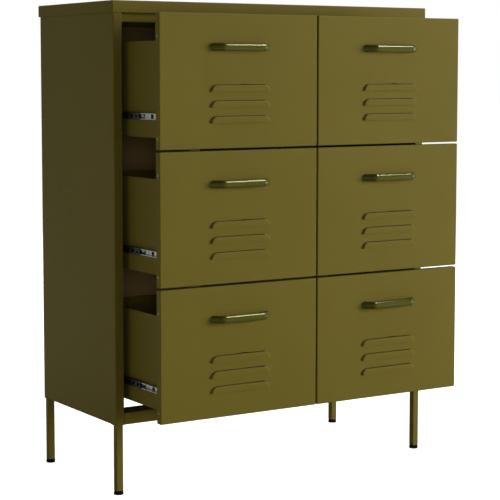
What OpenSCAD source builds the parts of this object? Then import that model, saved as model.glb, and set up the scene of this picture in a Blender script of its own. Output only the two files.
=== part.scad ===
// Steel drawer cabinet on four slim legs: two columns of three drawers under a folded lid.
// Each drawer is a louvred front pan on a folded tray, with a bow handle, and runs on a pair
// of ball slides. The drawers stand part open, as the cabinet is shown.
// Millimetres. +Z is up, the drawers pull out towards -Y, and the origin is on the floor at
// the centre of the cabinet's footprint.

/* [Cabinet] */
// Width over the lid
cabinet_w = 800; // [700:10:1000]
// Depth over the lid
cabinet_d = 350; // [320:5:500]
// Height from the floor to the top of the lid
cabinet_h = 1015; // [900:5:1200]
// Clear height under the body
body_clear = 145.7; // [120:0.1:200]
// Thickness of the body's sheet
sheet = 1; // [0.8:0.1:1.4]
// Outside radius of the folds in the sheet
fold_r = 2.5; // [2:0.1:4]

/* [Lid] */
// Height of the lip that hangs down round the lid
lid_lip = 24.4; // [20:0.1:40]
// How far the lid stands out past the body on every side
lid_overhang = 3; // [2.5:0.1:8]
// Thickness of the lid's sheet
lid_sheet = 1.2; // [0.8:0.1:1.5]

/* [Frame] */
// Width of the upright edge on each side of the drawers
stile_w = 20.5; // [18:0.1:30]
// Depth of the return folded back from the stile
stile_return = 20; // [17:0.5:22]
// Width of the flanges folded in at the panels' top, bottom and rear edges
flange_w = 18; // [12:0.5:19]
// Free length of a side panel's edge left unfolded at each corner, for the leg
corner_relief = 22; // [20:0.5:30]
// Height of the base rails
base_rail_h = 25.3; // [20:0.1:40]
// Depth of the shelf folded back from the top of the front base rail
base_shelf = 52; // [30:1:60]
// Depth of the shelf folded in from the top of the rear base rail
rear_shelf = 34; // [25:1:40]
// Height of the lips that stiffen the rails' inner edges
rail_lip = 8; // [4:0.5:12]
// How far the front top rail shows below the lid
top_rail_show = 18.6; // [10:0.1:30]
// Depth of the top rails
top_rail_d = 20; // [12:0.5:24]
// Gap between the closed drawer fronts and the top rail behind them
top_rail_gap = 1.5; // [1:0.1:3]
// Thickness of the centre divider
divider_t = 8; // [6:0.5:16]
// Gap between the divider and the rear panel
divider_rear_gap = 22; // [5:0.5:30]

/* [Slide posts] */
// Width of a post's face, along the cabinet's depth
post_face = 25; // [16:1:40]
// Width of a post's two feet on the side panel
post_foot = 10; // [6:0.5:16]
// Setback of the front posts' feet from the stile's return
post_setback = 2; // [1:0.5:10]
// Distance from the slides' rear ends forward to the rear posts' feet
rear_post_setback = 5; // [0:1:40]

/* [Legs] */
// Side of the square leg tube
leg_side = 15; // [12:0.5:16]
// Wall of the leg tube
leg_wall = 1.5; // [1:0.1:2]
// Corner radius of the leg tube
leg_r = 1.4; // [0.5:0.1:2]
// Distance from the lid's end to the leg's outer face
leg_inset_x = 5.8; // [4.5:0.1:9]
// Distance from the lid's front or rear to the leg's outer face
leg_inset_y = 4.6; // [4.2:0.1:9]
// Length of leg held inside the body's corner
leg_grip = 60; // [30:1:120]
// Diameter of a foot pad
pad_d = 20; // [16:0.5:26]
// Height of a foot pad
pad_h = 8; // [5:0.5:14]
// Radius of a pad's upper edge
pad_edge_r = 3; // [1:0.5:4]
// Height of the plug that holds a pad in its leg
plug_h = 12; // [6:1:20]
// Clearance between the plug and the leg's bore, on each side
plug_clear = 0.2; // [0.05:0.05:0.5]

/* [Rear panel] */
// Gap between the rear panel's edge and the body's outline
rear_panel_inset = 3; // [1:0.5:8]
// Diameter of the two holes for wall fixings
wall_hole_d = 8; // [4:0.5:12]
// Distance between the two wall fixing holes
wall_hole_pitch = 600; // [400:10:640]
// Height of the wall fixing holes below the lid's top
wall_hole_drop = 72; // [60:1:120]
// Number of upright stiffening beads pressed into the rear panel
bead_count = 4; // [2:1:6]
// Distance between neighbouring beads
bead_pitch = 170; // [120:5:200]
// Half width of a bead
bead_r = 7; // [4:0.5:10]
// Free height above and below a bead
bead_margin = 110; // [90:5:200]

/* [Drawer fronts] */
// Gap between the outer fronts and the stiles
side_gap = 1.5; // [1:0.1:4]
// Gap between the two columns of fronts
column_gap = 3.2; // [2:0.1:10]
// Gap between fronts one above the other
row_gap = 4.1; // [2:0.1:8]
// Gap between the top fronts and the lid's lip
top_gap = 3.8; // [2:0.1:8]
// Gap between the bottom fronts and the base rail
bottom_gap = 2.1; // [1:0.1:8]
// Depth of the front pan
front_depth = 15; // [12:0.5:22]
// Thickness of the front's sheet
front_sheet = 1; // [0.8:0.1:1.4]
// Outside radius of the front's edges
front_edge_r = 2; // [1.5:0.1:5]
// Width of the lips folded in behind the front's top and bottom edges
front_lip = 12; // [8:0.5:18]
// Width of the lips folded in behind the front's side edges, where the tray is welded
front_side_lip = 22; // [15:0.5:40]
// How far the drawers stand open
open_by = 150; // [0:5:220]

/* [Louvres] */
// Number of louvres in each front
louvre_count = 3; // [1:1:4]
// Width of a louvre
louvre_w = 142; // [100:1:240]
// Height of a louvre
louvre_h = 14; // [10:0.5:20]
// How far a louvre's hood stands out
louvre_out = 4.5; // [3:0.1:6]
// Height of the slit along a hood's straight top edge
louvre_slit = 1.1; // [0.5:0.1:2]
// Distance between neighbouring louvres
louvre_pitch = 31.2; // [25:0.1:45]
// Distance from the front's top edge down to the first louvre's top
louvre_drop = 141.1; // [110:0.1:150]
// Length of the small slot along the first louvre's top edge
slot_w = 16; // [8:0.5:20]
// Height of the small slot
slot_h = 2.4; // [1.5:0.1:4]
// Distance of the small slot to the right of the front's middle
slot_shift = 9; // [0:0.5:30]

/* [Handles] */
// Width of a handle over its two ends
handle_w = 145.5; // [110:0.5:200]
// Height of a handle's section
handle_h = 15.2; // [10:0.1:24]
// Thickness of a handle's section
handle_t = 6; // [4:0.1:7]
// Thickness of the handle at its upper and lower edges
handle_edge = 1.2; // [0.5:0.1:2.5]
// How far a handle stands out from the front
handle_out = 22; // [18:0.5:35]
// Radius of the handle's bends, at its outer face
handle_bend_r = 14; // [10:0.5:20]
// How far the bends swell past the straight stretches, all round the section
bend_swell = 0.03; // [0.02:0.01:0.1]
// Length of the straight stretches that ends inside a bend
bend_lap = 0.4; // [0.2:0.1:0.6]
// Slope of the handle's legs, in degrees
handle_slope = 45; // [35:1:60]
// Distance from the front's top edge down to the handle's middle
handle_drop = 66.7; // [40:0.1:90]

/* [Drawer trays] */
// Height of the tray's underside over the front's lower edge
tray_rise = 22.3; // [14:0.1:40]
// Distance from the front's top edge down to the tray's rim
tray_drop = 54.6; // [40:0.1:80]
// Thickness of the tray's sheet
tray_sheet = 1; // [0.7:0.1:1.4]
// Outside radius of the tray's lower folds
tray_fold_r = 2; // [1.6:0.1:4]
// Thickness of the folded rim
rim_t = 2.2; // [2:0.1:3]
// Height of the folded rim
rim_h = 9; // [5:0.5:15]
// Free depth behind the closed tray
tray_rear_gap = 28; // [24:1:60]

/* [Slides] */
// Thickness of a slide, from its post to the tray
slide_t = 10; // [9.5:0.1:14]
// Height of the outer channel
track_h = 19; // [17.5:0.1:24]
// Sheet of the slides
slide_sheet = 1; // [0.8:0.1:1.2]
// Outside radius of the folds in the slides
slide_fold_r = 1.6; // [1.3:0.1:2]
// Gap between the outer channel's open side and the tray
track_gap = 1.5; // [1:0.1:3]
// Height that the balls run in, above and below the inner channel
race = 2.5; // [1.8:0.1:3]
// Gap between the inner channel's open side and the cage
runner_gap = 0.7; // [0.4:0.1:1.5]
// Thickness of the ball cage
cage_t = 0.5; // [0.4:0.1:0.7]
// Gap between the cage and the outer channel's web
cage_gap = 0.4; // [0.3:0.1:0.6]
// Clearance between a ball and the channels
ball_clear = 0.3; // [0.2:0.05:0.4]
// Distance between neighbouring balls
ball_pitch = 19; // [8:1:30]
// Number of balls in a row
ball_count = 10; // [2:1:12]
// Height of the slides' middle over the tray's underside
slide_rise = 42.4; // [20:0.1:90]
// Setback of the slides behind the drawer fronts
slide_setback = 2; // [1:0.5:6]
// Length of the ball cage
cage_l = 190; // [170:1:220]
// Width of the windows in the cage's web
window_w = 9; // [4:0.5:12]
// Width of the fixing slot near the inner channel's front end
runner_slot_w = 9; // [6:0.5:16]
// Distance from the inner channel's front end to that slot's middle
runner_slot_at = 32.5; // [14:0.5:50]

/* [Hidden] */
$fn = 64;
paint = "#6a5e30";
zinc = "#b9bab4";
dark = "#1b1b1b";
rows = 3;
columns = 2;

// body
body_w = cabinet_w - 2 * lid_overhang;
body_d = cabinet_d - 2 * lid_overhang;
lid_bottom = cabinet_h - lid_lip;
lid_under = cabinet_h - lid_sheet;
panel_h = lid_under - body_clear;
fold_mid = fold_r - sheet / 2;
stile_x = body_w / 2 - stile_w;
face_y = -body_d / 2;
rear_y = body_d / 2;
base_top = body_clear + base_rail_h;
top_rail_z = lid_bottom - top_rail_show;
top_rail_y = face_y + front_depth + top_rail_gap;

// drawers
front_w = (2 * stile_x - 2 * side_gap - (columns - 1) * column_gap) / columns;
front_h = (lid_bottom - base_top - top_gap - bottom_gap - (rows - 1) * row_gap) / rows;
column_x = (front_w + column_gap) / 2;
slide_x = column_x - divider_t / 2;
tray_w = 2 * (slide_x - slide_t);
tray_h = front_h - tray_rise - tray_drop;
tray_d = body_d - front_depth - sheet - tray_rear_gap;
post_x = column_x + slide_x;

// slides, measured from the face that carries the outer channel
slide_front = front_depth + slide_setback;
slide_z = tray_rise + slide_rise;
slide_mid = slide_fold_r - slide_sheet / 2;
track_deep = slide_t - track_gap;
runner_h = track_h - 2 * slide_sheet - 2 * race;
cage_x = slide_sheet + cage_gap;
cage_h = runner_h + race + cage_t;
runner_x = cage_x + cage_t + runner_gap;
ball_r = race / 2 - ball_clear;
ball_x = (runner_x + track_deep) / 2;

// legs
leg_x = cabinet_w / 2 - leg_inset_x - leg_side / 2;
leg_y = cabinet_d / 2 - leg_inset_y - leg_side / 2;
leg_top = body_clear + leg_grip;

// ---- shapes that repeat ----

function unit(v) = v / norm(v);

// One straight stretch of a folded strip, from a to b along X or Y
module strip_leg(a, b, t) {
    along = [abs(b.x - a.x), abs(b.y - a.y)];
    across = along.x > along.y ? [0, t] : [t, 0];
    translate([min(a.x, b.x) - across.x / 2, min(a.y, b.y) - across.y / 2])
        square([along.x + across.x, along.y + across.y]);
}

// The round fold at a corner where the strip turns from one direction to the next
module strip_fold(corner, from, to, t, r) {
    outer = r + t / 2;
    side = from - to;
    translate(corner + r * (to - from))
        intersection() {
            difference() {
                circle(outer);
                circle(r - t / 2);
            }
            translate([min(side.x, 0) * outer, min(side.y, 0) * outer])
                square(outer);
        }
}

// Section of a sheet of thickness t folded square along a path of its middle line
module folded_strip(path, t, r) {
    last = len(path) - 1;
    for (i = [0 : last - 1]) {
        dir = unit(path[i + 1] - path[i]);
        start = i == 0 ? path[i] : path[i] + r * dir;
        end = i == last - 1 ? path[i + 1] : path[i + 1] - r * dir;
        strip_leg(start, end, t);
    }
    for (i = [1 : last - 1]) {
        strip_fold(path[i], unit(path[i] - path[i - 1]), unit(path[i + 1] - path[i]), t, r);
    }
}

// Rectangle with true round corners
module round_rect(w, h, r) {
    square([w - 2 * r, h], center = true);
    square([w, h - 2 * r], center = true);
    for (sx = [-1, 1], sy = [-1, 1]) {
        translate([sx * (w / 2 - r), sy * (h / 2 - r)])
            circle(r);
    }
}

// Block with round upright edges and a round edge all round its top
module soft_block(w, d, h, r) {
    linear_extrude(h - r)
        round_rect(w, d, r);
    translate([-w / 2 + r, -d / 2 + r, 0])
        cube([w - 2 * r, d - 2 * r, h]);
    for (sx = [-1, 1], sy = [-1, 1]) {
        translate([sx * (w / 2 - r), sy * (d / 2 - r), h - r])
            sphere(r);
    }
    for (sy = [-1, 1]) {
        translate([-w / 2 + r, sy * (d / 2 - r), h - r])
            rotate([0, 90, 0])
                cylinder(r = r, h = w - 2 * r);
    }
    for (sx = [-1, 1]) {
        translate([sx * (w / 2 - r), -d / 2 + r, h - r])
            rotate([-90, 0, 0])
                cylinder(r = r, h = d - 2 * r);
    }
}

// Pan pressed from one sheet: a soft block hollowed from below
module pan(w, d, h, r, t) {
    difference() {
        soft_block(w, d, h, r);
        translate([0, 0, -t])
            soft_block(w - 2 * t, d - 2 * t, h, r - t);
    }
}

// Extrudes a section drawn in X and Z along the depth, from y0 to y1
module along_depth(y0, y1) {
    translate([0, y1, 0])
        rotate([90, 0, 0])
            linear_extrude(y1 - y0)
                children();
}

// Extrudes a section drawn in Y and Z across the cabinet, centred
module across_width(w) {
    rotate([90, 0, 90])
        linear_extrude(w, center = true)
            children();
}

// Places a drawer part: column -1 or 1, row 0 to 2 from the bottom, pulled out by y
module at_drawer(column, row, out) {
    translate([column * column_x, face_y - out, base_top + bottom_gap + row * (front_h + row_gap)])
        children();
}

// ---- body ----

module lid() {
    color(paint)
        translate([0, 0, lid_bottom])
            pan(cabinet_w, cabinet_d, lid_lip, fold_r, lid_sheet);
}

// Left side: stile, stile return and rear flange folded from one sheet
module side_panel() {
    outer = body_w / 2 - sheet / 2;
    front = face_y + sheet / 2;
    rear = rear_y - sheet / 2;
    bottom = body_clear + sheet / 2;
    top = lid_under - sheet / 2;
    half = body_d / 2 - corner_relief;
    color(paint) {
        difference() {
            translate([0, 0, body_clear])
                linear_extrude(panel_h)
                    folded_strip([
                        [-stile_x - sheet / 2, face_y + stile_return],
                        [-stile_x - sheet / 2, front],
                        [-outer, front],
                        [-outer, rear],
                        [-stile_x, rear]
                    ], sheet, fold_mid);
            for (z = [body_clear - fold_r, lid_under - fold_r]) {
                translate([-body_w / 2 - sheet, -half, z])
                    cube([3 * sheet, 2 * half, 2 * fold_r]);
            }
        }
        along_depth(-half, half)
            folded_strip([
                [-outer, body_clear + 2 * fold_r],
                [-outer, bottom],
                [-outer + flange_w, bottom]
            ], sheet, fold_mid);
        along_depth(-half, half)
            folded_strip([
                [-outer, lid_under - 2 * fold_r],
                [-outer, top],
                [-outer + flange_w, top]
            ], sheet, fold_mid);
    }
}

// One upright bead: a half-round channel pressed inwards, with round ends
module bead(length, r) {
    half = length / 2 - r;
    translate([0, 0, -half])
        cylinder(r = r, h = 2 * half);
    for (sz = [-1, 1]) {
        translate([0, 0, sz * half])
            sphere(r);
    }
}

module rear_panel() {
    w = body_w - 2 * rear_panel_inset;
    z0 = body_clear + rear_panel_inset;
    z1 = lid_under - rear_panel_inset;
    mid = (z0 + z1) / 2;
    length = z1 - z0 - 2 * bead_margin;
    color(paint)
        difference() {
            union() {
                translate([-w / 2, rear_y, z0])
                    cube([w, sheet, z1 - z0]);
                for (i = [0 : bead_count - 1]) {
                    translate([(i - (bead_count - 1) / 2) * bead_pitch, rear_y + sheet, mid])
                        difference() {
                            bead(length, bead_r);
                            translate([-2 * bead_r, 0, -length])
                                cube([4 * bead_r, 2 * bead_r, 2 * length]);
                        }
                }
            }
            for (i = [0 : bead_count - 1]) {
                translate([(i - (bead_count - 1) / 2) * bead_pitch, rear_y + sheet, mid])
                    bead(length - 2 * sheet, bead_r - sheet);
            }
            for (sx = [-1, 1]) {
                translate([sx * wall_hole_pitch / 2, rear_y - sheet, cabinet_h - wall_hole_drop])
                    rotate([-90, 0, 0])
                        cylinder(d = wall_hole_d, h = 4 * sheet);
            }
        }
}

// Front top rail: a channel set back behind the drawer fronts
module top_rail_front() {
    y0 = top_rail_y + sheet / 2;
    y1 = top_rail_y + top_rail_d - sheet / 2;
    color(paint)
        across_width(2 * stile_x)
            folded_strip([
                [y1, top_rail_z + rail_lip],
                [y1, top_rail_z + sheet / 2],
                [y0, top_rail_z + sheet / 2],
                [y0, lid_under - sheet / 2],
                [y1 + sheet / 2, lid_under - sheet / 2]
            ], sheet, fold_mid);
}

// Rear top rail: the same channel, with its web on the rear panel
module top_rail_rear() {
    y0 = rear_y - sheet / 2;
    y1 = rear_y - top_rail_d + sheet / 2;
    color(paint)
        across_width(2 * stile_x)
            folded_strip([
                [y1, top_rail_z + rail_lip],
                [y1, top_rail_z + sheet / 2],
                [y0, top_rail_z + sheet / 2],
                [y0, lid_under - sheet / 2],
                [y1 - sheet / 2, lid_under - sheet / 2]
            ], sheet, fold_mid);
}

// Front base rail: face below the drawers, a deep shelf folded back from its top, and end
// tabs that seat on the stiles' returns
module base_rail_front() {
    y0 = face_y + sheet / 2;
    y1 = face_y + base_shelf - sheet / 2;
    color(paint) {
        across_width(2 * stile_x)
            folded_strip([
                [y0 + rail_lip, body_clear + sheet / 2],
                [y0, body_clear + sheet / 2],
                [y0, base_top - sheet / 2],
                [y1, base_top - sheet / 2],
                [y1, base_top - rail_lip]
            ], sheet, fold_mid);
        for (x = [-stile_x, stile_x - sheet]) {
            translate([x, y0, body_clear + fold_r])
                cube([sheet, stile_return - sheet, base_rail_h - 2 * fold_r]);
            translate([x, face_y + fold_r, base_top - 2 * fold_r])
                cube([sheet, stile_return - 2 * fold_r, 2 * fold_r - sheet / 2]);
        }
    }
}

module base_rail_rear() {
    y0 = rear_y - sheet / 2;
    y1 = rear_y - rear_shelf + sheet / 2;
    color(paint)
        across_width(2 * stile_x)
            folded_strip([
                [y0 - rail_lip, body_clear + sheet / 2],
                [y0, body_clear + sheet / 2],
                [y0, base_top - sheet / 2],
                [y1, base_top - sheet / 2],
                [y1, base_top - rail_lip]
            ], sheet, fold_mid);
}

// Centre divider: a flat tube of folded sheet that stands on the base rails' shelves
module centre_divider() {
    front = top_rail_y + sheet;
    rear = rear_y - divider_rear_gap;
    color(paint)
        translate([0, (front + rear) / 2, base_top])
            linear_extrude(top_rail_z - base_top)
                difference() {
                    round_rect(divider_t, rear - front, fold_r);
                    round_rect(divider_t - 2 * sheet, rear - front - 2 * sheet, fold_r - sheet);
                }
}

// Slide post: a hat section on the side panel, drawn for the left side, its feet from y0
module slide_post(y0) {
    wall = body_w / 2 - sheet * 1.5;
    face = post_x + sheet / 2;
    y1 = y0 + post_foot + sheet / 2;
    y2 = y1 + post_face - sheet;
    y3 = y2 + post_foot + sheet / 2;
    color(paint)
        translate([0, 0, base_top])
            linear_extrude(top_rail_z - base_top)
                folded_strip([
                    [-wall, y0], [-wall, y1], [-face, y1],
                    [-face, y2], [-wall, y2], [-wall, y3]
                ], sheet, fold_mid);
}

module slide_post_front() {
    slide_post(face_y + stile_return + post_setback);
}

module slide_post_rear() {
    slide_post(face_y + slide_front + tray_d - rear_post_setback - 2 * post_foot - post_face);
}

// ---- legs ----

// Front left leg: square tube with a pad plate that seats it on the side panel
module leg() {
    plate_t = leg_inset_x - lid_overhang - sheet;
    color(paint) {
        translate([-leg_x, -leg_y, pad_h])
            linear_extrude(leg_top - pad_h)
                difference() {
                    round_rect(leg_side, leg_side, leg_r);
                    square(leg_side - 2 * leg_wall, center = true);
                }
        translate([-leg_x - leg_side / 2 - plate_t, -leg_y - leg_side / 2 + leg_r, leg_top - leg_grip + fold_r])
            cube([plate_t, leg_side - 2 * leg_r, leg_grip - fold_r]);
    }
}

// Foot pad: a turned disc with a round upper edge, and a square plug in the tube
module foot() {
    plug = leg_side - 2 * leg_wall - 2 * plug_clear;
    color(dark)
        translate([-leg_x, -leg_y, 0]) {
            rotate_extrude()
                intersection() {
                    square([pad_d / 2, pad_h]);
                    union() {
                        square([pad_d / 2 - pad_edge_r, pad_h]);
                        square([pad_d / 2, pad_h - pad_edge_r]);
                        translate([pad_d / 2 - pad_edge_r, pad_h - pad_edge_r])
                            circle(pad_edge_r);
                    }
                }
            translate([-plug / 2, -plug / 2, pad_h - sheet])
                cube([plug, plug, plug_h + sheet]);
        }
}

// ---- drawers, drawn closed about the front's lower middle ----

// Solid under a louvre's hood: a straight run between two quarter-round ends
module hood(w, h, out) {
    module section() {
        square([h - out, out]);
        intersection() {
            translate([h - out, 0])
                circle(out);
            square([h, out]);
        }
    }
    run = w - 2 * h;
    rotate([90, 0, 90])
        linear_extrude(run, center = true)
            rotate(90)
                section();
    for (sx = [-1, 1]) {
        translate([sx * run / 2, 0, 0])
            rotate([90, 0, 0])
                rotate(sx > 0 ? 0 : 90)
                    rotate_extrude(angle = 90)
                        section();
    }
}

module drawer_front() {
    louvre_top = front_h - louvre_drop;
    color(paint)
        difference() {
            union() {
                translate([0, front_depth, front_h / 2])
                    rotate([90, 0, 0])
                        pan(front_w, front_h, front_depth, front_edge_r, front_sheet);
                // lips behind the pan
                difference() {
                    translate([0, front_depth, front_h / 2])
                        rotate([90, 0, 0])
                            linear_extrude(front_sheet)
                                round_rect(front_w, front_h, front_edge_r);
                    translate([-front_w / 2 + front_side_lip, 0, front_lip])
                        cube([front_w - 2 * front_side_lip, 2 * front_depth, front_h - 2 * front_lip]);
                }
                for (i = [0 : louvre_count - 1]) {
                    translate([0, 0, louvre_top - i * louvre_pitch - louvre_h])
                        hood(louvre_w, louvre_h, louvre_out);
                }
            }
            for (i = [0 : louvre_count - 1]) {
                translate([0, 0, louvre_top - i * louvre_pitch - louvre_h])
                    hood(louvre_w - 2 * front_sheet, louvre_h - front_sheet, louvre_out - front_sheet);
                translate([0, 0, louvre_top - i * louvre_pitch - louvre_h]) {
                    louvre_cut();
                    louvre_slits();
                }
            }
            translate([slot_shift, 0, louvre_top])
                rotate([90, 0, 0])
                    linear_extrude(2 * front_depth, center = true)
                        round_rect(slot_w, slot_h, slot_h / 2 - 0.01);
        }
}

// Opening in the sheet behind a hood
module louvre_cut() {
    w = louvre_w - 2 * front_sheet;
    h = louvre_h - front_sheet;
    translate([0, front_sheet * 1.5, 0])
        rotate([90, 0, 0])
            linear_extrude(front_sheet * 1.5) {
                translate([-w / 2 + h, 0])
                    square([w - 2 * h, h]);
                for (sx = [-1, 1]) {
                    translate([sx * (w / 2 - h), 0])
                        intersection() {
                            circle(h);
                            translate([sx < 0 ? -h : 0, 0])
                                square(h);
                        }
                }
            }
}

// Slit where a hood's straight top edge is sheared from the sheet, and the way from it into the hood
module louvre_slits() {
    run = louvre_w - 2 * louvre_h;
    translate([-run / 2, -louvre_out, louvre_h - louvre_slit])
        cube([run, louvre_out + 2 * front_sheet, louvre_slit]);
    translate([-run / 2, -front_sheet, louvre_h - 2 * front_sheet])
        cube([run, 3 * front_sheet, 2 * front_sheet - louvre_slit / 2]);
}

// Half-round section of a handle: flat back on X = 0, apex at X = handle_t
module handle_section(swell = 0) {
    crown = handle_t - handle_edge;
    r = (crown * crown + handle_h * handle_h / 4) / (2 * crown) + swell;
    intersection() {
        translate([handle_t + swell - r, 0])
            circle(r);
        translate([-swell, -handle_h / 2 - swell])
            square([2 * handle_t, handle_h + 2 * swell]);
    }
}

// Bow handle: straight grip, two bends and two sloping legs cut off flat on the front
module handle() {
    inner_r = handle_bend_r - handle_t;
    rise = handle_out - handle_bend_r * (1 - cos(handle_slope));
    half = handle_w / 2 - rise / tan(handle_slope) - handle_bend_r * sin(handle_slope);
    leg_l = rise / sin(handle_slope) + handle_t;
    color(paint)
        translate([0, 0, front_h - handle_drop])
            difference() {
                union() {
                    translate([0, -handle_out + handle_t, 0])
                        across_width(2 * half + 2 * bend_lap)
                            mirror([1, 0])
                                handle_section();
                    for (side = [0, 1]) {
                        mirror([side, 0, 0])
                            translate([half, -handle_out + handle_bend_r, 0]) {
                                rotate([0, 0, -90])
                                    rotate_extrude(angle = handle_slope)
                                        translate([inner_r, 0])
                                            handle_section(bend_swell);
                                rotate([0, 0, handle_slope - 90])
                                    translate([inner_r, -bend_lap, 0])
                                        rotate([-90, 0, 0])
                                            linear_extrude(leg_l + bend_lap)
                                                handle_section();
                            }
                    }
                }
                translate([-handle_w, 0, -handle_h])
                    cube([2 * handle_w, 2 * handle_out, 2 * handle_h]);
            }
}

// Tray: sides and floor folded from one sheet, end walls welded in, rims folded over
module tray() {
    side = tray_w / 2 - tray_sheet / 2;
    floor_z = tray_rise + tray_sheet / 2;
    rim_z = tray_rise + tray_h;
    color(paint) {
        along_depth(front_depth, front_depth + tray_d) {
            folded_strip([
                [-side, rim_z - rim_h / 2], [-side, floor_z],
                [side, floor_z], [side, rim_z - rim_h / 2]
            ], tray_sheet, tray_fold_r - tray_sheet / 2);
            for (sx = [-1, 1]) {
                translate([sx * (tray_w / 2 - rim_t / 2), rim_z - rim_h / 2])
                    round_rect(rim_t, rim_h, rim_t / 2 - 0.01);
            }
        }
        for (y = [front_depth, front_depth + tray_d - tray_sheet]) {
            translate([-tray_w / 2 + tray_sheet / 2, y, tray_rise + tray_fold_r])
                cube([tray_w - tray_sheet, tray_sheet, tray_h - tray_fold_r - rim_t / 2]);
            translate([-tray_w / 2 + tray_fold_r, y, floor_z])
                cube([tray_w - 2 * tray_fold_r, tray_sheet, tray_fold_r]);
        }
    }
}

// A slide member's section with X from the post to the tray, extruded along the slide
module slide_member(y0, y1) {
    translate([0, 0, slide_z])
        along_depth(y0, y1)
            children();
}

// Draws a left-hand slide and its mirror image on the drawer's two sides
module both_sides() {
    for (side = [0, 1]) {
        mirror([side, 0, 0])
            translate([-slide_x, 0, 0])
                children();
    }
}

// Outer channels, fixed to the posts and the divider
module tracks() {
    z = track_h / 2 - slide_sheet / 2;
    color(zinc)
        both_sides()
            slide_member(slide_front, slide_front + tray_d)
                folded_strip([
                    [track_deep, -z], [slide_sheet / 2, -z],
                    [slide_sheet / 2, z], [track_deep, z]
                ], slide_sheet, slide_mid);
}

// Inner channels, fixed to the tray's sides
module runners() {
    z = runner_h / 2 - slide_sheet / 2;
    color(zinc)
        both_sides()
            difference() {
                slide_member(slide_front, slide_front + tray_d)
                    folded_strip([
                        [runner_x, -z], [slide_t - slide_sheet / 2, -z],
                        [slide_t - slide_sheet / 2, z], [runner_x, z]
                    ], slide_sheet, slide_mid);
                translate([slide_t - 2 * slide_sheet, slide_front + runner_slot_at - runner_slot_w / 2,
                        slide_z - runner_h / 2 + slide_fold_r])
                    cube([3 * slide_sheet, runner_slot_w, runner_h - 2 * slide_fold_r]);
            }
}

// Ball cages: a channel with windows that holds two rows of balls
module cages() {
    z = cage_h / 2 - cage_t / 2;
    flange = track_deep - slide_sheet;
    first = slide_front + ball_pitch / 2;
    color(dark)
        both_sides() {
            difference() {
                slide_member(slide_front, slide_front + cage_l)
                    folded_strip([
                        [flange, -z], [cage_x + cage_t / 2, -z],
                        [cage_x + cage_t / 2, z], [flange, z]
                    ], cage_t, slide_sheet / 2);
                for (i = [0 : ball_count - 1]) {
                    translate([cage_x - cage_t, first + i * ball_pitch - window_w / 2, slide_z - runner_h / 4])
                        cube([3 * cage_t, window_w, runner_h / 2]);
                }
            }
            for (i = [0 : ball_count - 1], sz = [-1, 1]) {
                translate([ball_x, first + i * ball_pitch, slide_z + sz * z])
                    sphere(ball_r, $fn = 24);
            }
        }
}

lid();
side_panel();  // side_panel_left
mirror([1, 0, 0]) side_panel();  // side_panel_right
rear_panel();
top_rail_front();
top_rail_rear();
base_rail_front();
base_rail_rear();
centre_divider();
slide_post_front();  // slide_post_front_left
mirror([1, 0, 0]) slide_post_front();  // slide_post_front_right
slide_post_rear();  // slide_post_rear_left
mirror([1, 0, 0]) slide_post_rear();  // slide_post_rear_right
leg();  // leg_front_left
mirror([1, 0, 0]) leg();  // leg_front_right
mirror([0, 1, 0]) leg();  // leg_rear_left
rotate([0, 0, 180]) leg();  // leg_rear_right
foot();  // foot_front_left
mirror([1, 0, 0]) foot();  // foot_front_right
mirror([0, 1, 0]) foot();  // foot_rear_left
rotate([0, 0, 180]) foot();  // foot_rear_right
at_drawer(-1, 2, open_by) drawer_front();  // front_top_left
at_drawer(1, 2, open_by) drawer_front();  // front_top_right
at_drawer(-1, 1, open_by) drawer_front();  // front_middle_left
at_drawer(1, 1, open_by) drawer_front();  // front_middle_right
at_drawer(-1, 0, open_by) drawer_front();  // front_bottom_left
at_drawer(1, 0, open_by) drawer_front();  // front_bottom_right
at_drawer(-1, 2, open_by) tray();  // tray_top_left
at_drawer(1, 2, open_by) tray();  // tray_top_right
at_drawer(-1, 1, open_by) tray();  // tray_middle_left
at_drawer(1, 1, open_by) tray();  // tray_middle_right
at_drawer(-1, 0, open_by) tray();  // tray_bottom_left
at_drawer(1, 0, open_by) tray();  // tray_bottom_right
at_drawer(-1, 2, open_by) handle();  // handle_top_left
at_drawer(1, 2, open_by) handle();  // handle_top_right
at_drawer(-1, 1, open_by) handle();  // handle_middle_left
at_drawer(1, 1, open_by) handle();  // handle_middle_right
at_drawer(-1, 0, open_by) handle();  // handle_bottom_left
at_drawer(1, 0, open_by) handle();  // handle_bottom_right
at_drawer(-1, 2, open_by) runners();  // runners_top_left
at_drawer(1, 2, open_by) runners();  // runners_top_right
at_drawer(-1, 1, open_by) runners();  // runners_middle_left
at_drawer(1, 1, open_by) runners();  // runners_middle_right
at_drawer(-1, 0, open_by) runners();  // runners_bottom_left
at_drawer(1, 0, open_by) runners();  // runners_bottom_right
at_drawer(-1, 2, open_by / 2) cages();  // cages_top_left
at_drawer(1, 2, open_by / 2) cages();  // cages_top_right
at_drawer(-1, 1, open_by / 2) cages();  // cages_middle_left
at_drawer(1, 1, open_by / 2) cages();  // cages_middle_right
at_drawer(-1, 0, open_by / 2) cages();  // cages_bottom_left
at_drawer(1, 0, open_by / 2) cages();  // cages_bottom_right
at_drawer(-1, 2, 0) tracks();  // tracks_top_left
at_drawer(1, 2, 0) tracks();  // tracks_top_right
at_drawer(-1, 1, 0) tracks();  // tracks_middle_left
at_drawer(1, 1, 0) tracks();  // tracks_middle_right
at_drawer(-1, 0, 0) tracks();  // tracks_bottom_left
at_drawer(1, 0, 0) tracks();  // tracks_bottom_right
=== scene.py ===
"""Looks of the six-drawer steel cabinet: finishes, fixings, studio floor, lamps and camera."""

import math

import bmesh
import bpy
from bpy.props import FloatProperty, FloatVectorProperty, IntProperty, PointerProperty
from mathutils import Matrix, Vector


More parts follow.
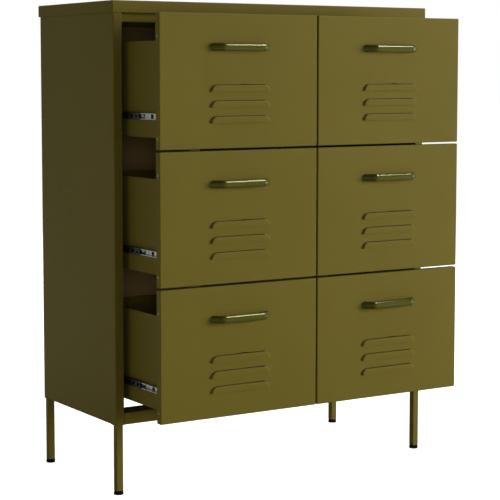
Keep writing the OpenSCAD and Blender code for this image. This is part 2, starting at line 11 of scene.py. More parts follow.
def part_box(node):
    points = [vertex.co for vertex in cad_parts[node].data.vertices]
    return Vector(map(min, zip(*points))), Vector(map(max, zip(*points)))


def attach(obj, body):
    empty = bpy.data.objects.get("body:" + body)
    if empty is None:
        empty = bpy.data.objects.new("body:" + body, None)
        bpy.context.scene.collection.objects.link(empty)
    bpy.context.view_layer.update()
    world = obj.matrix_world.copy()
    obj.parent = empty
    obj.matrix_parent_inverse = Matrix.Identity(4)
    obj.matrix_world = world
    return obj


bl_info = {
    "name": "Six-drawer steel cabinet",
    "version": (1, 0, 0),
    "blender": (4, 5, 0),
    "location": "3D View > Sidebar > Cabinet",
    "description": "Finishes, fixings and studio of a folded-steel drawer cabinet",
    "category": "Add Mesh",
}

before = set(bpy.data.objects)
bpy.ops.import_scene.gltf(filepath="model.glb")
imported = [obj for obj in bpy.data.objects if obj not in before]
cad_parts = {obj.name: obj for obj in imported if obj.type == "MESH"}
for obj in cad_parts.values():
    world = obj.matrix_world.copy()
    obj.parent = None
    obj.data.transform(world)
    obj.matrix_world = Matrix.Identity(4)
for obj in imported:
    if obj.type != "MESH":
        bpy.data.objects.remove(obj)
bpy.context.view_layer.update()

MM = 0.001
ROWS = ("bottom", "middle", "top")
COLUMNS = ("left", "right")
DRAWERS = [f"{row}_{column}" for row in ROWS for column in COLUMNS]

# rivets on a front's sides: heights over its lower edge, and how far they sit before the tray
FRONT_RIVET_HEIGHTS = (21.5 * MM, 222.5 * MM)
FRONT_RIVET_AHEAD = 7.5 * MM
# rivets in the inner slides: width and height of a head, and the distances along a slide
SLIDE_SHEET = 1 * MM
SLIDE_RIVET = (6.4 * MM, 0.9 * MM)
SLIDE_RIVETS_FROM_FRONT = (50 * MM, 170 * MM)
SLIDE_RIVET_FROM_REAR = 25 * MM
# release levers: length along the slide, width up it, and distance from its front end
LEVER_LENGTH = 8.6 * MM
LEVER_WIDTH = 8.4 * MM
LEVER_FROM_FRONT = 32.5 * MM
# screws of the rear panel: up its sides, and in a row near its lower and its upper edge
SIDE_SCREW_INSET = 7 * MM
SIDE_SCREW_START = 40 * MM
SIDE_SCREW_SPARE = 90 * MM
ROW_SCREW_PLACES = (-0.34, -0.17, 0.0, 0.17, 0.34)
ROW_SCREW_OVER_LOWER_EDGE = 9 * MM
ROW_SCREW_UNDER_UPPER_EDGE = 29 * MM
# screws behind a handle, on the inner face of the front's sheet
HANDLE_SCREW_INSET = 7 * MM
FRONT_SHEET = 1 * MM
# balls in a cage: from the cage's long edge to their middle, their reach, their largest face
BALL_INSET = 0.95 * MM
BALL_REACH = 1.0 * MM
BALL_FACE = 0.25 * MM * MM

# the softboxes' sizes and places; all are aimed at the middle of the drawers
LAMP_AIM = (0, -0.2, 0.55)
LAMPS = {
    "key": ((2.4, 2.2), (5.2, -3.9, 1.25)),
    "side": ((1.6, 1.0), (-3.0, -0.5, 0.3)),
    "top": ((1.2, 0.8), (0.0, 0.25, 3.0)),
    "rear": ((1.6, 1.6), (2.0, 4.2, 2.2)),
    "fill": ((0.7, 0.7), (-1.93, -3.1, 0.87)),
    "strip": ((1.0, 0.7), (1.25, -1.07, 2.57)),
}
FLOOR_SIDE = 60
# the cabinet shades the floor that its own undersides mirror: dark within the first radius
FLOOR_DARK_WITHIN = 0.6
FLOOR_BRIGHT_BEYOND = 1.4


def linear(code):
    """An sRGB hex colour, such as #6A5E30, as linear red, green, blue and alpha."""
    parts = [int(code[i : i + 2], 16) / 255 for i in (1, 3, 5)]
    return [p / 12.92 if p <= 0.04045 else ((p + 0.055) / 1.055) ** 2.4 for p in parts] + [1.0]


# ---- settings a user would change ----

# what all colour settings have in common
RGBA = {"size": 4, "min": 0, "max": 1}


class CabinetFinish(bpy.types.PropertyGroup):
    """Colours and gloss of the cabinet's finishes."""

    paint_colour: FloatVectorProperty(
        name="Paint",
        description="Colour of the powder coat",
        subtype="COLOR",
        **RGBA,
        default=linear("#665B22"),
    )
    # painted bounce light, not a thin coat: a lighter, warmer colour for the rear panel's inner
    # face stands in for warm light bounced round the dark interior
    inside_bounce_colour: FloatVectorProperty(
        name="Thin coat",
        description="Colour inside the rear panel, where the coat is thin and the primer shows",
        subtype="COLOR",
        **RGBA,
        default=linear("#A88A5A"),
    )
    paint_roughness: FloatProperty(
        name="Paint roughness",
        description="0 is a mirror, 1 is chalk; matt powder coat is about 0.5",
        default=0.55,
        min=0.05,
        max=1,
    )
    handle_colour: FloatVectorProperty(
        name="Handles",
        description="Colour of the handles' glossy enamel, darker and greener than the paint",
        subtype="COLOR",
        **RGBA,
        default=linear("#4E4C18"),
    )
    handle_roughness: FloatProperty(
        name="Handle roughness",
        description="Roughness of the glossier enamel on the handles",
        default=0.13,
        min=0.05,
        max=1,
    )
    peel_pitch: FloatProperty(
        name="Orange peel",
        description="Distance between the ripples left where the powder flowed out",
        default=1.6 * MM,
        min=0.5 * MM,
        max=6 * MM,
        unit="LENGTH",
    )
    zinc_colour: FloatVectorProperty(
        name="Zinc",
        description="Colour of the zinc plate on the slides, their rivets and the screws",
        subtype="COLOR",
        **RGBA,
        default=linear("#7E807A"),
    )
    zinc_roughness: FloatProperty(
        name="Zinc roughness",
        description="Roughness of the zinc plate",
        default=0.21,
        min=0.05,
        max=1,
    )
    rivet_colour: FloatVectorProperty(
        name="Rivets",
        description="Colour of the yellow-passivated rivets on a drawer front's sides",
        subtype="COLOR",
        **RGBA,
        default=linear("#6B6944"),
    )
    cage_colour: FloatVectorProperty(
        name="Ball cage",
        description="Colour of the blackened strip that spaces the balls",
        subtype="COLOR",
        **RGBA,
        default=linear("#080807"),
    )
    pad_colour: FloatVectorProperty(
        name="Foot pads",
        description="Colour of the moulded foot pads",
        subtype="COLOR",
        **RGBA,
        default=linear("#040404"),
    )


class CabinetFixings(bpy.types.PropertyGroup):
    """Sizes of the rivets, release levers and screws."""

    rivet_width: FloatProperty(
        name="Rivet width",
        description="Diameter of the domed heads on a drawer front's sides",
        default=5.4 * MM,
        min=3 * MM,
        max=10 * MM,
        unit="LENGTH",
    )
    rivet_height: FloatProperty(
        name="Rivet height",
        description="Height of those heads; the side gap leaves 1.5 mm",
        default=0.9 * MM,
        min=0.4 * MM,
        max=1.3 * MM,
        unit="LENGTH",
    )
    lever_height: FloatProperty(
        name="Lever height",
        description="Height of the release levers over the tray's side; the cages pass at 2.5 mm",
        default=1.9 * MM,
        min=1 * MM,
        max=2.2 * MM,
        unit="LENGTH",
    )
    screw_width: FloatProperty(
        name="Screw width",
        description="Diameter of the pan-head screws",
        default=7.4 * MM,
        min=4 * MM,
        max=9 * MM,
        unit="LENGTH",
    )
    screw_height: FloatProperty(
        name="Screw height",
        description="Height of the screws' heads",
        default=1.9 * MM,
        min=1 * MM,
        max=2 * MM,
        unit="LENGTH",
    )
    panel_screws: IntProperty(
        name="Panel screws",
        description="Number of screws up each side of the rear panel",
        default=5,
        min=2,
        max=9,
    )


class CabinetStudio(bpy.types.PropertyGroup):
    """Light levels and floor of the studio."""

    floor_colour: FloatVectorProperty(
        name="Floor",
        description="Colour of the studio floor",
        subtype="COLOR",
        **RGBA,
        default=linear("#D8D8D8"),
    )
    floor_glow: FloatProperty(
        name="Floor glow",
        description="How bright the floor looks by itself; 1 is white",
        default=0.99,
        min=0,
        max=1,
    )
    key_power: FloatProperty(
        name="Key light",
        description="Power of the large softbox to the right of the front",
        default=470,
        min=0,
        unit="POWER",
    )
    fill_power: FloatProperty(
        name="Fill light",
        description="Power of the small softbox beside the camera, which reaches into the cabinet",
        default=11,
        min=0,
        unit="POWER",
    )
    side_power: FloatProperty(
        name="Side light",
        description="Power of the softbox that lights the left side panel",
        default=7,
        min=0,
        unit="POWER",
    )
    strip_power: FloatProperty(
        name="Handle light",
        description="Power of the softbox over the front that draws the line on the handles",
        default=125,
        min=0,
        unit="POWER",
    )
    top_power: FloatProperty(
        name="Top light",
        description="Power of the softbox straight above, which lights the lid and the open trays",
        default=18,
        min=0,
        unit="POWER",
    )
    rear_power: FloatProperty(
        name="Rear light",
        description="Power of the softbox behind the cabinet, which lights its rear panel",
        default=90,
        min=0,
        unit="POWER",
    )
    horizon: FloatProperty(
        name="Room light",
        description="Level of the light from all round, at the horizon",
        default=0.11,
        min=0,
        max=1,
    )
    ceiling: FloatProperty(
        name="Ceiling light",
        description="Level of the light from straight above",
        default=0.05,
        min=0,
        max=1,
    )


# ---- materials ----


def add_node(tree, kind, settings=None, inputs=None):
    """Adds a node, sets its properties, and sets or links each named input. Gives back the node."""
    node = tree.nodes.new(kind)
    for name, value in (settings or {}).items():
        setattr(node, name, value)
    for name, value in (inputs or {}).items():
        if isinstance(value, bpy.types.NodeSocket):
            tree.links.new(value, node.inputs[name])
        else:
            node.inputs[name].default_value = value
    return node


def start_material(name):
    """A new material with an empty node tree. Gives back both, and Object coordinates."""
    material = bpy.data.materials.new(name)
    material.use_nodes = True
    tree = material.node_tree
    tree.nodes.clear()
    place = add_node(tree, "ShaderNodeTexCoord").outputs["Object"]
    return material, tree, place


def show(tree, shader):
    """Links a shader to a material's output."""
    output = add_node(tree, "ShaderNodeOutputMaterial")
    tree.links.new(shader, output.inputs["Surface"])


def show_principled(tree, inputs):
    """Ends a material in a Principled shader with these inputs."""
    show(tree, add_node(tree, "ShaderNodeBsdfPrincipled", inputs=inputs).outputs["BSDF"])


def noise(tree, place, size, detail, roughness=0.5):
    """Noise with blobs of about this size, in metres. Gives back its level, 0 to 1."""
    return add_node(
        tree,
        "ShaderNodeTexNoise",
        inputs={"Vector": place, "Scale": 1 / size, "Detail": detail, "Roughness": roughness},
    ).outputs["Fac"]


def ramp(tree, level, low, high, start=0.3, end=0.7, interpolation="LINEAR"):
    """Goes from low to high as a level goes from start to end, which is as far as noise goes."""
    return add_node(
        tree,
        "ShaderNodeMapRange",
        {"interpolation_type": interpolation},
        {"Value": level, "From Min": start, "From Max": end, "To Min": low, "To Max": high},
    ).outputs["Result"]


def tone(colour, factor):
    """A colour made darker or lighter, its alpha kept."""
    return [min(1.0, c * factor) for c in colour[:3]] + [1.0]


def mixed(tree, level, one, other):
    """A colour that goes from one to the other as a level goes from 0 to 1."""
    return add_node(
        tree,
        "ShaderNodeMix",
        {"data_type": "RGBA"},
        {"Factor": level, "A": one, "B": other},
    ).outputs["Result"]


def relief(tree, height, strength, depth):
    """A bump this deep, in metres. Gives back its normal."""
    return add_node(
        tree,
        "ShaderNodeBump",
        inputs={"Height": height, "Strength": strength, "Distance": depth},
    ).outputs["Normal"]


def powder_coat(name, base, peel_pitch, peel_depth, roughness, gloss):
    """Polyester powder coat, baked on sheet steel.

    The powder melts and flows out into a skin with a faint orange peel, a little thicker
    and darker in drifts a hand wide, and a shade duller where it is thin. Matting flour in
    the powder keeps the sheen low, and the resin tints it a pale yellow; gloss is the level
    of that sheen. Real orange peel is some 0.01 mm deep, and it is drawn about as deep.
    """
    material, tree, place = start_material(name)
    drift = ramp(tree, noise(tree, place, size=0.22, detail=3.0, roughness=0.45), 0.0, 1.0)
    grain = noise(tree, place, size=0.012, detail=2.0)
    peel = noise(tree, place, size=peel_pitch, detail=1.5, roughness=0.4)
    show_principled(
        tree,
        {
            "Base Color": mixed(tree, drift, tone(base, 0.965), tone(base, 1.03)),
            "Roughness": ramp(tree, grain, low=roughness - 0.03, high=roughness + 0.05),
            "IOR": 1.5,
            "Specular IOR Level": gloss,
            "Specular Tint": linear("#FFF8A8"),
            "Normal": relief(tree, peel, strength=0.35, depth=peel_depth),
        },
    )
    return material


def zinc_plate(name, plate, roughness):
    """Zinc-plated rolled steel strip, passivated clear (bluish grey) or yellow.

    It has rolling lines drawn out along the slide, 0.6 mm apart and 50 mm long, and small
    duller patches where the plate is handled.
    """
    material, tree, place = start_material(name)
    along = add_node(
        tree,
        "ShaderNodeMapping",
        inputs={"Vector": place, "Scale": (1 / 0.0006, 1 / 0.05, 1 / 0.0006)},
    )
    lines = noise(tree, along.outputs["Vector"], size=1.0, detail=2.0)
    patches = noise(tree, place, size=0.009, detail=3.0, roughness=0.6)
    show_principled(
        tree,
        {
            "Base Color": mixed(tree, patches, tone(plate, 0.8), tone(plate, 1.1)),
            "Metallic": 1.0,
            "Roughness": ramp(tree, lines, low=roughness - 0.06, high=roughness + 0.1),
            "Normal": relief(tree, lines, strength=0.25, depth=0.01 * MM),
        },
    )
    return material


def blackened_strip(black):
    """Phosphated steel strip of the ball cages: near black, greased, with a soft shine."""
    material, tree, place = start_material("phosphated_steel")
    smear = noise(tree, place, size=0.006, detail=3.0, roughness=0.6)
    show_principled(
        tree,
        {
            "Base Color": mixed(tree, smear, tone(black, 0.6), tone(black, 1.5)),
            "Metallic": 0.3,
            "Specular IOR Level": 0.25,
            "Roughness": ramp(tree, smear, low=0.3, high=0.6, start=0.0, end=1.0),
        },
    )
    return material


def ball_steel():
    """Polished bearing steel with a film of grease: bright, near mirror, a touch brown."""
    material, tree, place = start_material("bearing_steel")
    film = noise(tree, place, size=0.001, detail=1.0)
    show_principled(
        tree,
        {
            "Base Color": mixed(tree, film, linear("#A9A79F"), linear("#D8D8D4")),
            "Metallic": 1.0,
            "Roughness": 0.16,
        },
    )
    return material


def moulded_pad(black):
    """Injection-moulded polypropylene: black, slightly waxy, with a fine spark-eroded grain."""
    material, tree, place = start_material("moulded_polypropylene")
    grain = noise(tree, place, size=0.0007, detail=2.0)
    scuff = noise(tree, place, size=0.008, detail=4.0)
    show_principled(
        tree,
        {
            "Base Color": mixed(tree, scuff, tone(black, 0.7), tone(black, 1.5)),
            "Roughness": 0.5,
            "IOR": 1.49,
            "Specular IOR Level": 0.06,
            "Normal": relief(tree, grain, strength=0.5, depth=0.03 * MM),
        },
    )
    return material


def finish_node(node, *materials):
    """Gives a CAD node its materials."""
    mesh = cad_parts[node].data
    mesh.materials.clear()
    for material in materials:
        mesh.materials.append(material)


# ---- modelling by hand ----


def deselect():
    """Nothing selected, so that an operator acts on the new piece alone."""
    bpy.ops.object.select_all(action="DESELECT")


def edit(piece):
    """Opens a piece in edit mode with no part of it selected, in face mode."""
    deselect()
    piece.select_set(True)
    bpy.context.view_layer.objects.active = piece
    bpy.ops.object.mode_set(mode="EDIT")
    bpy.ops.mesh.select_mode(type="FACE")
    bpy.ops.mesh.select_all(action="DESELECT")


def pick_faces(piece, test):
    """Selects the faces whose middle and normal pass the test, and no others."""
    mesh = bmesh.from_edit_mesh(piece.data)
    for face in mesh.faces:
        face.select_set(test(face.calc_center_median(), face.normal))
    mesh.select_flush_mode()
    bmesh.update_edit_mesh(piece.data)


def close_edit():
    """Merges doubles, turns normals outwards and leaves edit mode."""
    bpy.ops.mesh.select_all(action="SELECT")
    bpy.ops.mesh.remove_doubles(threshold=1e-6)
    bpy.ops.mesh.normals_make_consistent(inside=False)
    bpy.ops.object.mode_set(mode="OBJECT")


def settle(piece):
    """Puts a piece's place, turn and size into its mesh, and leaves its object at the origin."""
    deselect()
    piece.select_set(True)
    bpy.context.view_layer.objects.active = piece
    bpy.ops.object.transform_apply(location=True, rotation=True, scale=True)


def domed_head(name, width, height):
    """A round head on Z = 0: a low disc, crowned in steps that close on a small flat."""
    rim = 0.3 * height
    crown = height - rim
    crown_steps = 5
    # how far round its quarter circle the crown goes, in degrees
    crown_end = 80
    deselect()
    bpy.ops.mesh.primitive_cylinder_add(
        vertices=24, radius=width / 2, depth=rim, location=(0, 0, rim / 2)
    )
    head = bpy.context.object
    head.name = name
    settle(head)
    edit(head)
    pick_faces(head, lambda middle, normal: normal.z > 0.9)
    for i in range(crown_steps):
        low, high = (math.radians(crown_end * k / crown_steps) for k in (i, i + 1))
        bpy.ops.mesh.inset(
            thickness=width / 2 * (math.cos(low) - math.cos(high)),
            depth=crown * (math.sin(high) - math.sin(low)) / math.sin(math.radians(crown_end)),
        )
    close_edit()
    bpy.ops.object.shade_smooth_by_angle(angle=math.radians(40))
    return head


def screw_head(name, width, height):
    """A pan head with a cross recess, on Z = 0."""
    arm_size = (0.52 * width, 0.13 * width, 1.5 * height)
    # the recess narrows towards its floor
    floor_share = 0.6
    head = domed_head(name, width, height)
    arms = []
    for turn in (0, math.pi / 2):
        deselect()
        bpy.ops.mesh.primitive_cube_add(size=1, location=(0, 0, height))
        arm = bpy.context.object
        arm.scale = arm_size
        arm.rotation_euler.z = turn
        settle(arm)
        edit(arm)
        pick_faces(arm, lambda middle, normal: normal.z < -0.9)
        bpy.ops.transform.resize(value=(floor_share, floor_share, 1))
        close_edit()
        arms.append(arm)
    for arm in arms:
        cut = head.modifiers.new("cross", "BOOLEAN")
        cut.operation = "DIFFERENCE"
        cut.solver = "EXACT"
        cut.object = arm
        deselect()
        head.select_set(True)
        bpy.context.view_layer.objects.active = head
        bpy.ops.object.modifier_apply(modifier=cut.name)
    for arm in arms:
        bpy.data.objects.remove(arm)
    return head


def release_lever(name, length, width, thickness):
    """A small moulded lever that lies on Z = 0, with round edges and a dished thumb rest."""
    # the insets of the thumb rest, each with its share of the width and of the thickness
    thumb_rest = ((0.12, 0), (0.08, -0.3), (0.12, 0.15))
    deselect()
    bpy.ops.mesh.primitive_cube_add(size=1, location=(0, 0, thickness / 2))
    lever = bpy.context.object
    lever.name = name
    lever.scale = (length, width, thickness)
    settle(lever)
    edit(lever)
    bpy.ops.mesh.select_all(action="SELECT")
    bpy.ops.mesh.bevel(offset=0.25 * thickness, segments=2, affect="EDGES")
    pick_faces(lever, lambda middle, normal: middle.z > thickness - 1e-6)
    for inwards, upwards in thumb_rest:
        bpy.ops.mesh.inset(thickness=inwards * width, depth=upwards * thickness)
    close_edit()
    bpy.ops.object.shade_smooth_by_angle(angle=math.radians(35))
    return lever


def spread(name, pattern, places, body, material):
    """Copies a head to each (point, direction), joins the copies, and fixes them to a body."""
    copies = []
    for point, direction in places:
        copy = pattern.copy()
        copy.data = pattern.data.copy()
        bpy.context.collection.objects.link(copy)
        turn = Vector(direction).to_track_quat("Z", "Y").to_matrix().to_4x4()
        copy.matrix_world = Matrix.Translation(point) @ turn
        settle(copy)
        copies.append(copy)
    deselect()
    for copy in copies:
        copy.select_set(True)
    bpy.context.view_layer.objects.active = copies[0]
    bpy.ops.object.join()
    piece = bpy.context.object
    piece.name = name
    piece.data.name = name
    piece.data.materials.clear()
    piece.data.materials.append(material)
    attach(piece, body)
    return piece


def finish_named(name):
    """A material made earlier, by its name."""
    material = bpy.data.materials.get(name)
    if material is None:
        raise RuntimeError(f"{name} isn't made yet: run the finishes first")
    return material


# ---- operators ----


class CABINET_OT_coat_body(bpy.types.Operator):
    """Powder-coats the body, drawers and handles, and gives the foot pads their plastic"""

    bl_idname = "cabinet.coat_body"
    bl_label = "Coat the body and drawers"

    def execute(self, context):
        finish = context.scene.cabinet_finish
        paint = powder_coat(
            "powder_coat_olive",
            finish.paint_colour,
            finish.peel_pitch,
            peel_depth=0.02 * MM,
            roughness=finish.paint_roughness,
            gloss=0.05,
        )
        enamel = powder_coat(
            "handle_enamel_olive",
            finish.handle_colour,
            finish.peel_pitch,
            peel_depth=0.004 * MM,
            roughness=finish.handle_roughness,
            gloss=0.12,
        )
        # painted bounce light: a lighter, warmer copy of the coat for the rear panel's inner face,
        # which brightens the dark interior
        inside = powder_coat(
            "powder_coat_thin",
            finish.inside_bounce_colour,
            finish.peel_pitch,
            peel_depth=0.02 * MM,
            roughness=finish.paint_roughness + 0.1,
            gloss=0.03,
        )
        pad = moulded_pad(finish.pad_colour)
        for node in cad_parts:
            if node.startswith("foot_"):
                finish_node(node, pad)
            elif node.startswith("handle_"):
                finish_node(node, enamel)
            elif node == "rear_panel":
                finish_node(node, paint, inside)
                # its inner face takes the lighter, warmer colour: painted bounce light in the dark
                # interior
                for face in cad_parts[node].data.polygons:
                    if face.normal.y < -0.5:
                        face.material_index = 1
            elif not node.startswith(("tracks_", "runners_", "cages_")):
                finish_node(node, paint)
        return {"FINISHED"}


class CABINET_OT_plate_slides(bpy.types.Operator):
    """Makes the zinc finishes, plates the slides, blackens the ball cages, polishes the balls"""

    bl_idname = "cabinet.plate_slides"
    bl_label = "Finish the slides"

    def execute(self, context):
        finish = context.scene.cabinet_finish
        zinc = zinc_plate("zinc_plated_steel", finish.zinc_colour, finish.zinc_roughness)
        # the rivets' passivation is thicker, and duller for it
        zinc_plate("yellow_zinc", finish.rivet_colour, finish.zinc_roughness + 0.1)
        strip = blackened_strip(finish.cage_colour)
        steel = ball_steel()
        for drawer in DRAWERS:
            finish_node(f"tracks_{drawer}", zinc)
            finish_node(f"runners_{drawer}", zinc)
            node = f"cages_{drawer}"
            finish_node(node, strip, steel)
            self.pick_out_balls(node)
        return {"FINISHED"}

    def pick_out_balls(self, node):
        """Gives the balls' faces the second material: the small faces along both long edges."""
        low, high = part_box(node)
        middle = (low.z + high.z) / 2
        row = (high.z - low.z) / 2 - BALL_INSET
        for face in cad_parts[node].data.polygons:
            off = abs(abs(face.center.z - middle) - row)
            if off < BALL_REACH and face.area < BALL_FACE:
                face.material_index = 1


class CABINET_OT_add_rivets(bpy.types.Operator):
    """Adds the domed rivets that hold each front to its tray, and those in the runners"""

    bl_idname = "cabinet.add_rivets"
    bl_label = "Add rivets"

    def execute(self, context):
        sizes = context.scene.cabinet_fixings
        zinc = finish_named("zinc_plated_steel")
        yellow = finish_named("yellow_zinc")
        head = domed_head("rivet_pattern", sizes.rivet_width, sizes.rivet_height)
        flat = domed_head("runner_rivet_pattern", *SLIDE_RIVET)
        for drawer in DRAWERS:
            low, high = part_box(f"front_{drawer}")
            tray_low, tray_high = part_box(f"tray_{drawer}")
            y = tray_low.y - FRONT_RIVET_AHEAD
            places = []
            for x, way in ((low.x, -1), (high.x, 1)):
                for over in FRONT_RIVET_HEIGHTS:
                    places.append((Vector((x, y, low.z + over)), (way, 0, 0)))
            spread(f"front_rivets_{drawer}", head, places, f"drawer_{drawer}", yellow)
            low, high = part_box(f"runners_{drawer}")
            along = [low.y + on for on in SLIDE_RIVETS_FROM_FRONT]
            along.append(high.y - SLIDE_RIVET_FROM_REAR)
            z = (low.z + high.z) / 2
            places = []
            for x, way in ((tray_low.x - SLIDE_SHEET, -1), (tray_high.x + SLIDE_SHEET, 1)):
                for y in along:
                    places.append((Vector((x, y, z)), (way, 0, 0)))
            spread(f"runner_rivets_{drawer}", flat, places, f"drawer_{drawer}", zinc)
        bpy.data.objects.remove(head)
        bpy.data.objects.remove(flat)
        return {"FINISHED"}


class CABINET_OT_add_levers(bpy.types.Operator):
    """Adds the plastic levers in the runners, which let a drawer be lifted off its slides"""

    bl_idname = "cabinet.add_levers"
    bl_label = "Add release levers"

    def execute(self, context):
        sizes = context.scene.cabinet_fixings
        plastic = finish_named("moulded_polypropylene")
        lever = release_lever("lever_pattern", LEVER_LENGTH, LEVER_WIDTH, sizes.lever_height)
        for drawer in DRAWERS:
            low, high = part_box(f"runners_{drawer}")
            tray_low, tray_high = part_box(f"tray_{drawer}")
            y = low.y + LEVER_FROM_FRONT
            z = (low.z + high.z) / 2
            places = [
                (Vector((x, y, z)), (way, 0, 0)) for x, way in ((tray_low.x, -1), (tray_high.x, 1))
            ]
            name = f"release_levers_{drawer}"
            spread(name, lever, places, f"drawer_{drawer}", plastic)
        bpy.data.objects.remove(lever)
        return {"FINISHED"}


class CABINET_OT_add_screws(bpy.types.Operator):
    """Adds the cross-head screws round the rear panel and behind the handles"""

    bl_idname = "cabinet.add_screws"
    bl_label = "Add screws"

    def execute(self, context):
        sizes = context.scene.cabinet_fixings
        zinc = finish_named("zinc_plated_steel")
        head = screw_head("screw_pattern", sizes.screw_width, sizes.screw_height)
        low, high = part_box("rear_panel")
        gaps = sizes.panel_screws - 1
        places = []
        for x in (low.x + SIDE_SCREW_INSET, high.x - SIDE_SCREW_INSET):
            for i in range(gaps + 1):
                z = low.z + SIDE_SCREW_START + i * (high.z - low.z - SIDE_SCREW_SPARE) / gaps
                places.append((Vector((x, high.y, z)), (0, 1, 0)))
        for x in ROW_SCREW_PLACES:
            for z in (low.z + ROW_SCREW_OVER_LOWER_EDGE, high.z - ROW_SCREW_UNDER_UPPER_EDGE):
                places.append((Vector((x, high.y, z)), (0, 1, 0)))
        spread("panel_screws", head, places, "cabinet", zinc)
        for drawer in DRAWERS:
            low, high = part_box(f"handle_{drawer}")
            y = high.y + FRONT_SHEET
            z = (low.z + high.z) / 2
            places = [
                (Vector((x, y, z)), (0, 1, 0))
                for x in (low.x + HANDLE_SCREW_INSET, high.x - HANDLE_SCREW_INSET)
            ]
            spread(f"handle_screws_{drawer}", head, places, f"drawer_{drawer}", zinc)
        bpy.data.objects.remove(head)
        return {"FINISHED"}


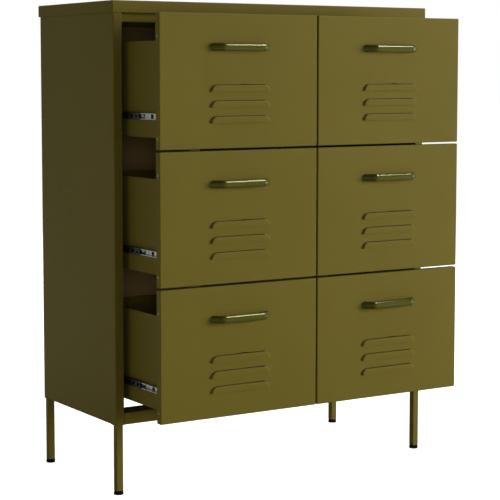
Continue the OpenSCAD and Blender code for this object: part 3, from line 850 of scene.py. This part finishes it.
class CABINET_OT_set_studio(bpy.types.Operator):
    """Lays the floor, hangs the lamps and places the camera at the photograph's viewpoint"""

    bl_idname = "cabinet.set_studio"
    bl_label = "Set up the studio"

    def execute(self, context):
        studio = context.scene.cabinet_studio
        context.scene.view_settings.view_transform = "Standard"
        self.lay_floor(studio)
        self.light_room(studio)
        lamps = {
            name: self.hang_lamp(name, getattr(studio, f"{name}_power"), size, place)
            for name, (size, place) in LAMPS.items()
        }
        # the top one only brightens the lid and the trays, and puts no glare on them
        lamps["top"].visible_glossy = False
        # the strip shows only where the handles' upper edges mirror it
        lamps["strip"].visible_diffuse = False
        self.place_camera()
        return {"FINISHED"}

    def lay_floor(self, studio):
        """A pale floor that the camera and mirroring metal see as white, with its shadows kept."""
        deselect()
        bpy.ops.mesh.primitive_plane_add(size=1, location=(0, 0, 0))
        floor = bpy.context.object
        floor.name = "floor"
        floor.scale = (FLOOR_SIDE, FLOOR_SIDE, 1)
        settle(floor)
        material, tree, place = start_material("studio_floor")
        plain = add_node(tree, "ShaderNodeBsdfDiffuse", inputs={"Color": studio.floor_colour})
        glow = add_node(
            tree,
            "ShaderNodeEmission",
            inputs={"Color": (1, 1, 1, 1), "Strength": studio.floor_glow},
        )
        bright = add_node(
            tree, "ShaderNodeAddShader", inputs={0: plain.outputs["BSDF"], 1: glow.outputs[0]}
        )
        path = add_node(tree, "ShaderNodeLightPath")
        reach = add_node(
            tree, "ShaderNodeVectorMath", {"operation": "LENGTH"}, {"Vector": place}
        ).outputs["Value"]
        beyond = ramp(tree, reach, 0.0, 1.0, FLOOR_DARK_WITHIN, FLOOR_BRIGHT_BEYOND)
        mirrored = add_node(
            tree,
            "ShaderNodeMath",
            {"operation": "MULTIPLY"},
            {0: self.mirrored(tree, path), 1: beyond},
        )
        seen = self.either(tree, path.outputs["Is Camera Ray"], mirrored.outputs[0])
        mix = add_node(
            tree,
            "ShaderNodeMixShader",
            inputs={0: seen, 1: plain.outputs["BSDF"], 2: bright.outputs["Shader"]},
        )
        show(tree, mix.outputs["Shader"])
        floor.data.materials.append(material)

    def either(self, tree, one, other):
        """The larger of two values."""
        return add_node(
            tree, "ShaderNodeMath", {"operation": "MAXIMUM"}, {0: one, 1: other}
        ).outputs[0]

    def mirrored(self, tree, path):
        """1 for rays that metal mirrors or glass refracts."""
        return self.either(
            tree, path.outputs["Is Glossy Ray"], path.outputs["Is Transmission Ray"]
        )

    def light_room(self, studio):
        """A dim room for the light on the cabinet, a white sweep for the camera and for metal."""
        world = bpy.data.worlds.new("studio")
        bpy.context.scene.world = world
        world.use_nodes = True
        tree = world.node_tree
        tree.nodes.clear()
        way = add_node(tree, "ShaderNodeTexCoord")
        up = add_node(
            tree, "ShaderNodeSeparateXYZ", inputs={"Vector": way.outputs["Generated"]}
        ).outputs["Z"]
        path = add_node(tree, "ShaderNodeLightPath")
        room = self.dome(tree, up, studio.horizon, studio.ceiling, start=0.0, end=0.5)
        # the sweep is white up to head height, and the ceiling over it is dark
        sweep = self.dome(tree, up, 1.0, studio.ceiling, start=0.3, end=0.6)
        white = add_node(
            tree, "ShaderNodeBackground", inputs={"Color": (1, 1, 1, 1), "Strength": 1.0}
        )
        around = add_node(
            tree, "ShaderNodeMixShader", inputs={0: self.mirrored(tree, path), 1: room, 2: sweep}
        )
        mix = add_node(
            tree,
            "ShaderNodeMixShader",
            inputs={
                0: path.outputs["Is Camera Ray"],
                1: around.outputs["Shader"],
                2: white.outputs["Background"],
            },
        )
        output = add_node(tree, "ShaderNodeOutputWorld")
        tree.links.new(mix.outputs["Shader"], output.inputs["Surface"])

    def dome(self, tree, height, low, high, start, end):
        """White light whose level goes from low to high between two heights of the sky."""
        level = ramp(tree, height, low, high, start, end, "SMOOTHSTEP")
        return add_node(
            tree,
            "ShaderNodeBackground",
            inputs={"Color": (1, 1, 1, 1), "Strength": level},
        ).outputs["Background"]

    def hang_lamp(self, name, power, size, place):
        """A rectangular softbox, turned to the drawers."""
        lamp = bpy.data.lights.new(name, "AREA")
        lamp.shape = "RECTANGLE"
        lamp.size, lamp.size_y = size
        lamp.energy = power
        holder = bpy.data.objects.new(name, lamp)
        bpy.context.collection.objects.link(holder)
        holder.location = place
        aim = Vector(LAMP_AIM) - Vector(place)
        holder.rotation_euler = aim.to_track_quat("-Z", "Y").to_euler()
        return holder

    def place_camera(self):
        """A long lens to the left of the front, just under the lid, fitted to the photograph."""
        camera = bpy.data.cameras.new("camera")
        camera.sensor_width = 36
        camera.lens = 114.96
        camera.shift_x = 0.02
        camera.shift_y = -0.067
        camera.clip_start = 0.05
        camera.clip_end = 100
        holder = bpy.data.objects.new("camera", camera)
        bpy.context.collection.objects.link(holder)
        holder.location = (-1.8979, -3.0437, 0.8690)
        turned_down, turned_right = 0.0897, 0.56046
        holder.rotation_euler = (math.pi / 2 - turned_down, 0, -turned_right)
        bpy.context.scene.camera = holder


class CABINET_PT_panel(bpy.types.Panel):
    """The cabinet's settings and steps in the sidebar"""

    bl_label = "Steel cabinet"
    bl_idname = "CABINET_PT_panel"
    bl_space_type = "VIEW_3D"
    bl_region_type = "UI"
    bl_category = "Cabinet"

    def draw(self, context):
        for settings in (
            context.scene.cabinet_finish,
            context.scene.cabinet_fixings,
            context.scene.cabinet_studio,
        ):
            box = self.layout.box()
            for name in settings.__annotations__:
                box.prop(settings, name)
        for operator in STEPS:
            self.layout.operator(operator.bl_idname)


SETTINGS = {
    "cabinet_finish": CabinetFinish,
    "cabinet_fixings": CabinetFixings,
    "cabinet_studio": CabinetStudio,
}
STEPS = (
    CABINET_OT_coat_body,
    CABINET_OT_plate_slides,
    CABINET_OT_add_rivets,
    CABINET_OT_add_levers,
    CABINET_OT_add_screws,
    CABINET_OT_set_studio,
)


def register():
    for group in (*SETTINGS.values(), *STEPS, CABINET_PT_panel):
        bpy.utils.register_class(group)
    for name, group in SETTINGS.items():
        setattr(bpy.types.Scene, name, PointerProperty(type=group))


def unregister():
    for name in SETTINGS:
        delattr(bpy.types.Scene, name)
    for group in reversed((*SETTINGS.values(), *STEPS, CABINET_PT_panel)):
        bpy.utils.unregister_class(group)


def main():
    register()
    bpy.ops.cabinet.coat_body()
    bpy.ops.cabinet.plate_slides()
    bpy.ops.cabinet.add_rivets()
    bpy.ops.cabinet.add_levers()
    bpy.ops.cabinet.add_screws()
    bpy.ops.cabinet.set_studio()


if __name__ == "__main__":
    main()
